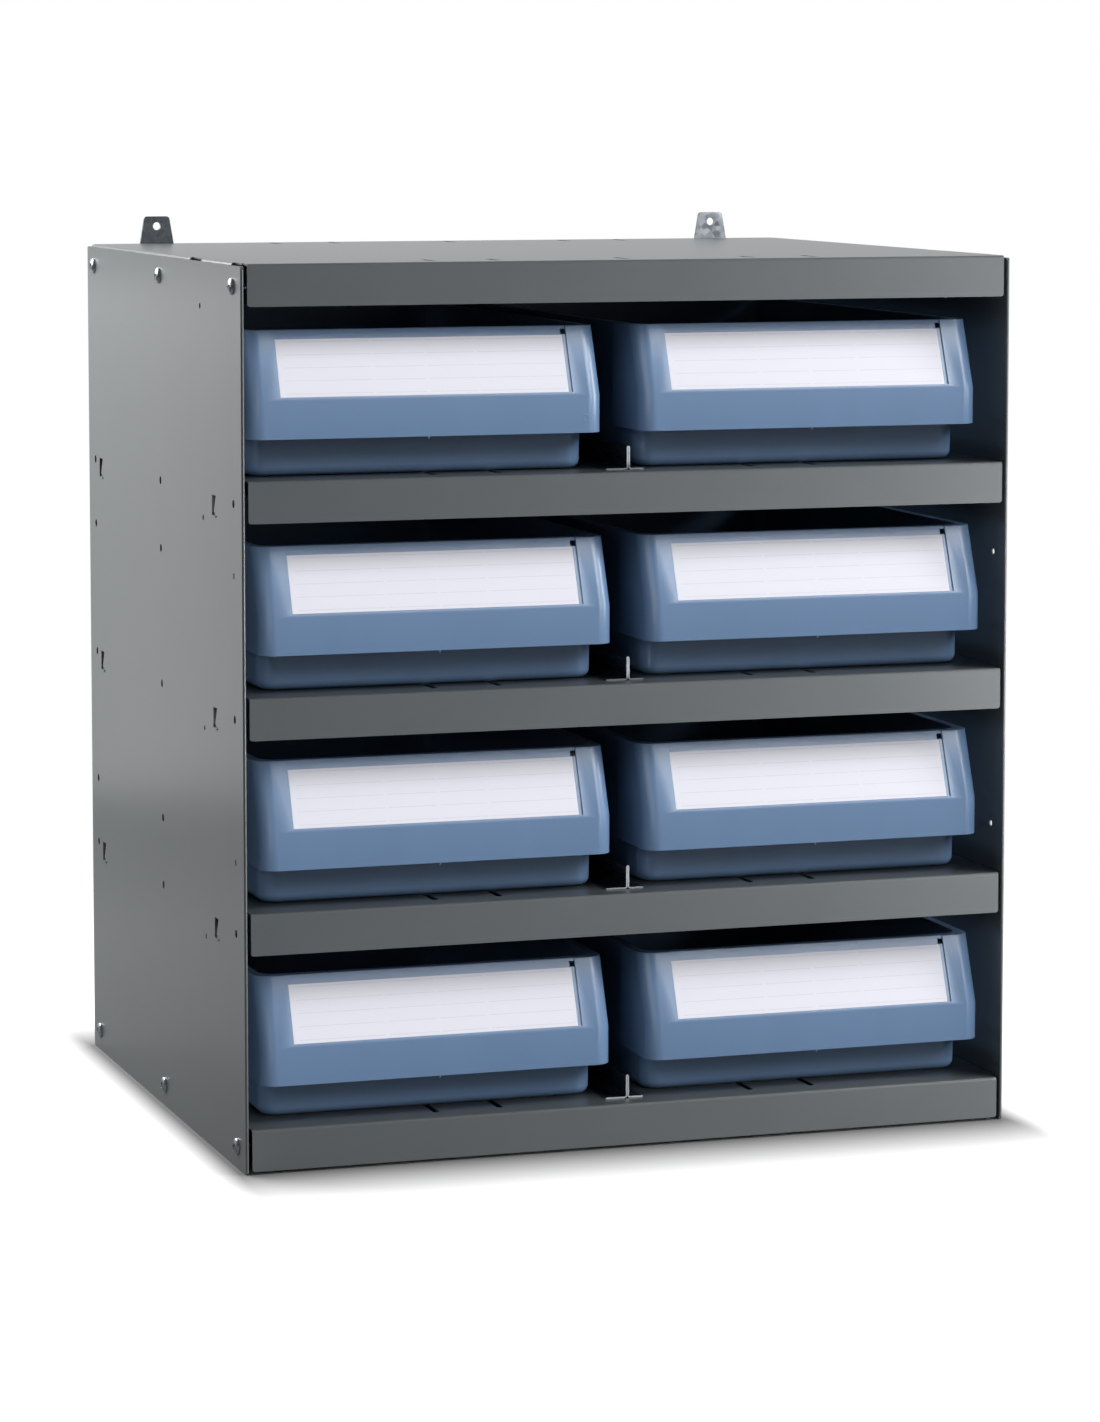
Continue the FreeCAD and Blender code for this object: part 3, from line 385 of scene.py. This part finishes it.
def new_piece(name, shape, material, body, replaced=()):
    """Make an object of a bmesh, which is freed, and ride it on a body of the frame."""
    mesh = bpy.data.meshes.new(name)
    shape.to_mesh(mesh)
    shape.free()
    mesh.materials.append(material)
    piece = bpy.data.objects.new(name, mesh)
    bpy.context.scene.collection.objects.link(piece)
    if replaced:
        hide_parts(*replaced)
    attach(piece, body)
    return piece


def smooth_with_creases(shape, crease_deg):
    """Smooth every face and keep the edges sharper than an angle as creases."""
    for face in shape.faces:
        face.smooth = True
    for edge in shape.edges:
        edge.smooth = not edge.is_manifold or edge.calc_face_angle() < math.radians(crease_deg)


def sharp_edges(shape, angle_deg):
    """The edges whose two faces meet at more than an angle."""
    limit = math.radians(angle_deg)
    return [edge for edge in shape.edges if edge.is_manifold and edge.calc_face_angle() > limit]


def merged_copy(node):
    """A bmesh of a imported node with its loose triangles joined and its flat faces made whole."""
    shape = bmesh.new()
    shape.from_mesh(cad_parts[node].data)
    bmesh.ops.remove_doubles(shape, verts=shape.verts, dist=0.002 * MM)
    bmesh.ops.dissolve_limit(
        shape,
        angle_limit=math.radians(0.4),
        verts=shape.verts,
        edges=shape.edges,
        use_dissolve_boundaries=False,
    )
    return shape


def cut_with(shape, cutter):
    """Take one bmesh out of another, both closed, and return what is left."""
    holders = []
    for name, part in (("blank", shape), ("cutter", cutter)):
        mesh = bpy.data.meshes.new(name)
        part.to_mesh(mesh)
        part.free()
        holder = bpy.data.objects.new(name, mesh)
        bpy.context.scene.collection.objects.link(holder)
        holders.append(holder)
    modifier = holders[0].modifiers.new("cut", "BOOLEAN")
    modifier.operation = "DIFFERENCE"
    modifier.solver = "EXACT"
    modifier.object = holders[1]
    seen = holders[0].evaluated_get(bpy.context.evaluated_depsgraph_get())
    result = bmesh.new()
    result.from_mesh(seen.to_mesh())
    seen.to_mesh_clear()
    for holder in holders:
        mesh = holder.data
        bpy.data.objects.remove(holder)
        bpy.data.meshes.remove(mesh)
    return result


def bevel_edges(shape, edges, width, segments):
    """Round some edges of a bmesh by a width."""
    bmesh.ops.bevel(
        shape,
        geom=edges,
        offset=width,
        offset_type="OFFSET",
        affect="EDGES",
        segments=segments,
        profile=0.5,
        material=-1,
        clamp_overlap=True,
    )


def keep_flats(piece):
    """Weight the normals of a piece so that its flat faces stay flat beside rounded edges."""
    normals = piece.modifiers.new("flat_faces_stay_flat", "WEIGHTED_NORMAL")
    normals.keep_sharp = True


def lathed(profile, steps):
    """Turn a profile of (along, radius) points round the X axis."""
    shape = bmesh.new()
    verts = [shape.verts.new((x, r, 0)) for x, r in profile]
    edges = [shape.edges.new(pair) for pair in zip(verts, verts[1:])]
    bmesh.ops.spin(
        shape,
        geom=verts + edges,
        cent=(0, 0, 0),
        axis=(1, 0, 0),
        angle=2 * math.pi,
        steps=steps,
        use_merge=True,
    )
    bmesh.ops.remove_doubles(shape, verts=shape.verts, dist=0.001 * MM)
    bmesh.ops.recalc_face_normals(shape, faces=shape.faces)
    return shape


def add_to(joined, part):
    """Move the faces of a part into a joined bmesh and free the part."""
    mesh = bpy.data.meshes.new("part")
    part.to_mesh(mesh)
    part.free()
    joined.from_mesh(mesh)
    bpy.data.meshes.remove(mesh)


def island_boxes(node):
    """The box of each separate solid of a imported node."""
    shape = merged_copy(node)
    left = set(shape.verts)
    boxes = []
    while left:
        found, waiting = set(), [next(iter(left))]
        while waiting:
            vert = waiting.pop()
            if vert not in found:
                found.add(vert)
                waiting += [edge.other_vert(vert) for edge in vert.link_edges]
        left -= found
        spread = [[vert.co[axis] for vert in found] for axis in range(3)]
        boxes.append((Vector(map(min, spread)), Vector(map(max, spread))))
    shape.free()
    return sorted(boxes, key=lambda box: tuple(box[0]))


def plus_cutter(reach, width, depth):
    """A tapered cross that points down -X from just above X = 0."""
    shape = bmesh.new()
    bmesh.ops.create_cube(shape, size=1.0)
    bmesh.ops.scale(shape, vec=(depth * 1.3, width, width), verts=shape.verts)
    arms = [face for face in shape.faces if abs(face.normal.x) < 0.5]
    for face in arms:
        normal = face.normal.copy()
        new = bmesh.ops.extrude_face_region(shape, geom=[face])["geom"]
        moved = [item for item in new if isinstance(item, bmesh.types.BMVert)]
        bmesh.ops.translate(shape, vec=normal * (reach - width / 2), verts=moved)
    bmesh.ops.delete(shape, geom=[face for face in arms if face.is_valid], context="FACES_ONLY")
    bmesh.ops.remove_doubles(shape, verts=shape.verts, dist=0.001 * MM)
    bmesh.ops.recalc_face_normals(shape, faces=shape.faces)
    deep = [vert for vert in shape.verts if vert.co.x < 0]
    bmesh.ops.scale(shape, vec=(1.0, 0.45, 0.45), verts=deep)
    bmesh.ops.translate(shape, vec=(-depth * 0.35, 0, 0), verts=shape.verts)
    return shape


def screw_shape(radius, length, thread_radius):
    """A truss-head screw on the X axis with its crown at X = 0, a cross recess and thread rings."""
    crown, rim, pitch = radius * 0.4, 0.6 * MM, 0.8 * MM
    profile = [(0.0, 0.0)]
    for step in range(1, 9):
        angle = math.pi / 2 * step / 8
        profile.append((-crown * (1 - math.cos(angle)), radius * math.sin(angle) ** 0.9))
    profile += [(-crown - rim, radius), (-crown - rim, thread_radius)]
    along = -crown - rim - 0.4 * MM
    while along > -length + pitch:
        profile += [(along, thread_radius), (along - pitch / 2, thread_radius * 0.86)]
        along -= pitch
    profile += [(-length, thread_radius * 0.8), (-length, 0.0)]
    recess = plus_cutter(reach=radius * 0.62, width=radius * 0.26, depth=crown * 1.1)
    return cut_with(lathed(profile, 36), recess)


def gate_nub(place):
    """What is left of the sprue: a small cone that points down from the lower edge of a band."""
    length, tip, sunk, straight = 1.7 * MM, 0.4 * MM, 0.3 * MM, 0.4 * MM
    profile = [(-sunk, 0.0), (-sunk, NUB_RADIUS), (straight, NUB_RADIUS), (length, tip), (length, 0.0)]
    nub = lathed(profile, 12)
    down = Matrix.Rotation(math.pi / 2, 4, "Y")
    bmesh.ops.transform(nub, matrix=Matrix.Translation(place) @ down, verts=nub.verts)
    return nub


def mould_ring(place):
    """A low ring left by a round insert of the mould, on the face of a band."""
    radius, wire, height = 1.9 * MM, 0.35 * MM, 0.12 * MM
    inner, outer = radius - wire, radius + wire
    profile = [(0.0, inner), (height, radius - wire / 2), (height, radius + wire / 2), (0.0, outer)]
    profile += [(-height, radius + wire / 2), (-height, radius - wire / 2), (0.0, inner)]
    ring = lathed(profile, 24)
    forward = Matrix.Rotation(-math.pi / 2, 4, "Z")
    bmesh.ops.transform(ring, matrix=Matrix.Translation(place) @ forward, verts=ring.verts)
    return ring


def set_material(nodes, material):
    """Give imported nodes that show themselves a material."""
    for name in nodes:
        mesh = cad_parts[name].data
        mesh.materials.clear()
        mesh.materials.append(material)


# Stage helpers


def lay_floor(scene, settings):
    """A wide plain floor, which isn't part of the rack."""
    shape = bmesh.new()
    bmesh.ops.create_grid(shape, x_segments=1, y_segments=1, size=12.0)
    mesh = bpy.data.meshes.new("floor")
    shape.to_mesh(mesh)
    shape.free()
    mesh.materials.append(floor_material(settings))
    floor = bpy.data.objects.new("floor", mesh)
    scene.collection.objects.link(floor)


def light_room(scene, settings):
    """A studio that is dim before the rack, brighter behind it, and white where the camera sees it."""
    world = bpy.data.worlds.new("studio")
    world.use_nodes = True
    scene.world = world
    tree = world.node_tree
    tree.nodes.clear()
    path = add_node(tree, "ShaderNodeLightPath")
    direction = add_node(tree, "ShaderNodeTexCoord").outputs["Generated"]
    towards = add_node(tree, "ShaderNodeSeparateXYZ", None, {"Vector": direction}).outputs["Y"]
    room = remap(tree, towards, 0.0, 0.5, settings.room_level, settings.backdrop_level)
    strength = math_node(tree, "MAXIMUM", room, path.outputs["Is Camera Ray"])
    light = add_node(tree, "ShaderNodeBackground", None, {"Color": (1, 1, 1, 1), "Strength": strength})
    end = add_node(tree, "ShaderNodeOutputWorld")
    tree.links.new(light.outputs[0], end.inputs["Surface"])


def hang_lamps(scene, settings):
    """Hang the lamps. The bins are lit apart from the sheet steel, so that no lamp glares in their walls."""
    bins = bpy.data.collections.new("bins_and_cards")
    others = bpy.data.collections.new("all_but_bins")
    shades = bpy.data.collections.new("shades_of_the_bin_lamps")
    for piece in [item for item in scene.objects if item.type == "MESH"]:
        group = bins if piece.name.startswith(("bin_", "label_card_")) else others
        group.objects.link(piece)
        if not piece.name.startswith("side_panel"):
            shades.objects.link(piece)

    for name, place, width, height, power in BOX_LAMPS:
        lamp = bpy.data.lights.new(name, "AREA")
        lamp.shape = "RECTANGLE"
        lamp.size = width
        lamp.size_y = height
        lamp.energy = power * settings.light_level
        holder = bpy.data.objects.new(name, lamp)
        scene.collection.objects.link(holder)
        holder.visible_camera = False
        holder.visible_glossy = name not in NO_REFLECTION
        holder.location = place
        holder.rotation_euler = (Vector(place) - Vector(AIM)).to_track_quat("Z", "Y").to_euler()
        if name in STEEL_ONLY:
            holder.light_linking.receiver_collection = others

    for name, around, above, spread, strength in BIN_LAMPS:
        lamp = bpy.data.lights.new(name, "SUN")
        lamp.angle = math.radians(spread)
        lamp.energy = strength * settings.light_level
        holder = bpy.data.objects.new(name, lamp)
        scene.collection.objects.link(holder)
        holder.rotation_euler = (math.radians(90 - above), 0.0, math.radians(around))
        holder.light_linking.receiver_collection = bins
        holder.light_linking.blocker_collection = shades


def place_camera(scene):
    """Stand the camera where the photo was taken from."""
    camera = bpy.data.cameras.new("camera")
    camera.sensor_fit = "AUTO"
    camera.sensor_width = SENSOR
    camera.lens = LENS
    camera.shift_y = SHIFT
    camera.clip_start = 0.05
    camera.clip_end = 60.0
    holder = bpy.data.objects.new("camera", camera)
    scene.collection.objects.link(holder)
    holder.location = CAMERA_PLACE
    holder.rotation_euler = (math.radians(90 - CAMERA_DOWN), 0.0, math.radians(CAMERA_TURN))
    scene.camera = holder


# Sizes and colours that a user would change


class BinRackSettings(bpy.types.PropertyGroup):
    """Finishes of the rack and its stage."""

    enamel_colour_hex: bpy.props.StringProperty(
        name="Enamel colour", description="Grey of the powder coat, as sRGB hex", default="#616668"
    )
    bin_colour_hex: bpy.props.StringProperty(
        name="Bin colour", description="Slate blue of the moulded bins, as sRGB hex", default="#607A9B"
    )
    card_colour_hex: bpy.props.StringProperty(
        name="Card colour", description="White of the label cards, as sRGB hex", default="#CCCCD5"
    )
    floor_colour_hex: bpy.props.StringProperty(
        name="Floor colour", description="Pale floor under the rack, as sRGB hex", default="#909090"
    )
    edge_softness: bpy.props.FloatProperty(
        name="Edge softness",
        description="Width of the rounding on the edges of a moulded bin",
        default=0.9 * MM,
        unit="LENGTH",
    )
    line_width: bpy.props.FloatProperty(
        name="Line width", description="Height of a dotted line on a card, in millimetres", default=0.45
    )
    floor_lift: bpy.props.FloatProperty(
        name="Floor lift",
        description="Light that only the camera sees on the floor",
        default=1.0,
        subtype="FACTOR",
    )
    # The two shadow reaches set how far the painted soft shadow spreads: the camera-only white on the floor fades
    # out over them towards the rack.
    shadow_before: bpy.props.FloatProperty(
        name="Shadow in front",
        description="Reach of the soft shadow before the rack",
        default=88 * MM,
        unit="LENGTH",
    )
    shadow_beside: bpy.props.FloatProperty(
        name="Shadow beside",
        description="Reach of the soft shadow beside the rack",
        default=20 * MM,
        unit="LENGTH",
    )
    room_level: bpy.props.FloatProperty(
        name="Room level", description="Light that the room on the camera's side gives the rack", default=0.16
    )
    backdrop_level: bpy.props.FloatProperty(
        name="Backdrop level", description="Light that the studio behind the rack gives it", default=0.66
    )
    light_level: bpy.props.FloatProperty(
        name="Light level", description="Strength of every lamp against its plain level", default=1.0
    )


# Operators, one for each piece or group of like pieces


class BINRACK_OT_sheet_steel(bpy.types.Operator):
    """Give the folded panels, pans and back their powder coat"""

    bl_idname = "bin_rack.sheet_steel"
    bl_label = "Powder-coat the sheet steel"

    def execute(self, context):
        set_material(SHEET_STEEL, enamel_material(context.scene.bin_rack))
        return {"FINISHED"}


class BINRACK_OT_galvanised(bpy.types.Operator):
    """Give the wall brackets and the dividers their galvanised finish"""

    bl_idname = "bin_rack.galvanised"
    bl_label = "Galvanise brackets and dividers"

    def execute(self, context):
        zinc = zinc_material()
        set_material(("wall_bracket_left", "wall_bracket_right"), zinc)
        # The cut ends get a paler metal than the strip: their roughness is real, their paleness is a painted
        # highlight.
        strip, sheared_and_highlight = divider_material(), sheared_edge_highlight_material()
        edge_rounding = 0.25 * MM
        for level in LEVELS:
            node = f"divider_{level}"
            shape = merged_copy(node)
            bevel_edges(shape, sharp_edges(shape, 40), edge_rounding, 2)
            smooth_with_creases(shape, 40)
            # The faces that look forwards and backwards are the sheared ends and edges; their paler metal is
            # partly a painted highlight.
            for face in shape.faces:
                face.material_index = int(abs(face.normal.y) > 0.5)
            piece = new_piece(f"{node}_strip", shape, strip, "rack", (node,))
            piece.data.materials.append(sheared_and_highlight)
            keep_flats(piece)
        return {"FINISHED"}


class BINRACK_OT_fasteners(bpy.types.Operator):
    """Turn the screws, cut their cross recesses and plate the nuts"""

    bl_idname = "bin_rack.fasteners"
    bl_label = "Make the screws"

    def execute(self, context):
        plated = plated_material()
        set_material(("panel_nuts_left", "panel_nuts_right"), plated)
        turns = random.Random(7)
        for node, outwards in SCREW_DIRECTIONS.items():
            outwards = Vector(outwards)
            joined = bmesh.new()
            for low, high in island_boxes(node):
                size = high - low
                length, across = (size.x, size.y) if outwards.x else (size.y, size.x)
                crown = (low + high) / 2 + outwards * length / 2
                screw = screw_shape(across / 2, length, SCREW_THREADS[node] / 2 * MM)
                turn = Matrix.Rotation(turns.uniform(0, math.pi / 2), 4, "X")
                face = outwards.to_track_quat("X", "Z").to_matrix().to_4x4()
                bmesh.ops.transform(screw, matrix=Matrix.Translation(crown) @ face @ turn, verts=screw.verts)
                add_to(joined, screw)
            smooth_with_creases(joined, 32)
            new_piece(f"{node}_turned", joined, plated, "rack", (node,))
        return {"FINISHED"}


class BINRACK_OT_bins(bpy.types.Operator):
    """Soften the moulded edges of the eight bins and add their mould marks"""

    bl_idname = "bin_rack.bins"
    bl_label = "Mould the bins"

    def execute(self, context):
        settings = context.scene.bin_rack
        plastic = polypropylene_material(settings)
        for level in LEVELS:
            for side in SIDES:
                name = f"bin_{level}_{side}"
                shape = merged_copy(name)
                bevel_edges(shape, sharp_edges(shape, 25), settings.edge_softness, 3)
                low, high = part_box(name)
                middle, band = (low.x + high.x) / 2, low.z + BAND_BOTTOM
                add_to(shape, gate_nub((middle, low.y + NUB_RADIUS, band)))
                if (level, side) == RINGED_BIN:
                    add_to(shape, mould_ring((high.x - RING_IN, low.y, band + RING_UP)))
                smooth_with_creases(shape, 40)
                piece = new_piece(f"{name}_moulding", shape, plastic, name, (name,))
                keep_flats(piece)
        return {"FINISHED"}


class BINRACK_OT_cards(bpy.types.Operator):
    """Print the eight label cards"""

    bl_idname = "bin_rack.cards"
    bl_label = "Make the label cards"

    def execute(self, context):
        settings = context.scene.bin_rack
        card = card_material(settings)
        for level in LEVELS:
            for side in SIDES:
                name = f"label_card_{level}_{side}"
                shape = merged_copy(name)
                layer = shape.loops.layers.uv.new("card_mm")
                low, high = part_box(name)
                for face in shape.faces:
                    for loop in face.loops:
                        place = loop.vert.co
                        slope = math.hypot(high.z - place.z, high.y - place.y)
                        loop[layer].uv = ((place.x - low.x) / MM, slope / MM)
                smooth_with_creases(shape, 30)
                new_piece(f"{name}_print", shape, card, f"bin_{level}_{side}", (name,))
        return {"FINISHED"}


class BINRACK_OT_stage(bpy.types.Operator):
    """Lay the floor, hang the lamps and place the camera"""

    bl_idname = "bin_rack.stage"
    bl_label = "Build the stage"

    def execute(self, context):
        settings, scene = context.scene.bin_rack, context.scene
        scene.view_settings.view_transform = "Standard"
        lay_floor(scene, settings)
        light_room(scene, settings)
        hang_lamps(scene, settings)
        place_camera(scene)
        return {"FINISHED"}


OPERATORS = (
    BINRACK_OT_sheet_steel,
    BINRACK_OT_galvanised,
    BINRACK_OT_fasteners,
    BINRACK_OT_bins,
    BINRACK_OT_cards,
    BINRACK_OT_stage,
)


class BINRACK_PT_panel(bpy.types.Panel):
    """Bin rack"""

    bl_idname = "BINRACK_PT_panel"
    bl_label = "Bin rack"
    bl_space_type = "VIEW_3D"
    bl_region_type = "UI"
    bl_category = "Bin rack"

    def draw(self, context):
        for name in BinRackSettings.__annotations__:
            self.layout.prop(context.scene.bin_rack, name)
        for operator in OPERATORS:
            self.layout.operator(operator.bl_idname)


CLASSES = (BinRackSettings, *OPERATORS, BINRACK_PT_panel)


def register():
    """Register the settings, operators and panel."""
    for item in CLASSES:
        bpy.utils.register_class(item)
    bpy.types.Scene.bin_rack = bpy.props.PointerProperty(type=BinRackSettings)


def unregister():
    """Take back what register did."""
    del bpy.types.Scene.bin_rack
    for item in reversed(CLASSES):
        bpy.utils.unregister_class(item)


def main():
    """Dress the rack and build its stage."""
    register()
    bpy.ops.bin_rack.sheet_steel()
    bpy.ops.bin_rack.galvanised()
    bpy.ops.bin_rack.fasteners()
    bpy.ops.bin_rack.bins()
    bpy.ops.bin_rack.cards()
    bpy.ops.bin_rack.stage()


if __name__ == "__main__":
    main()
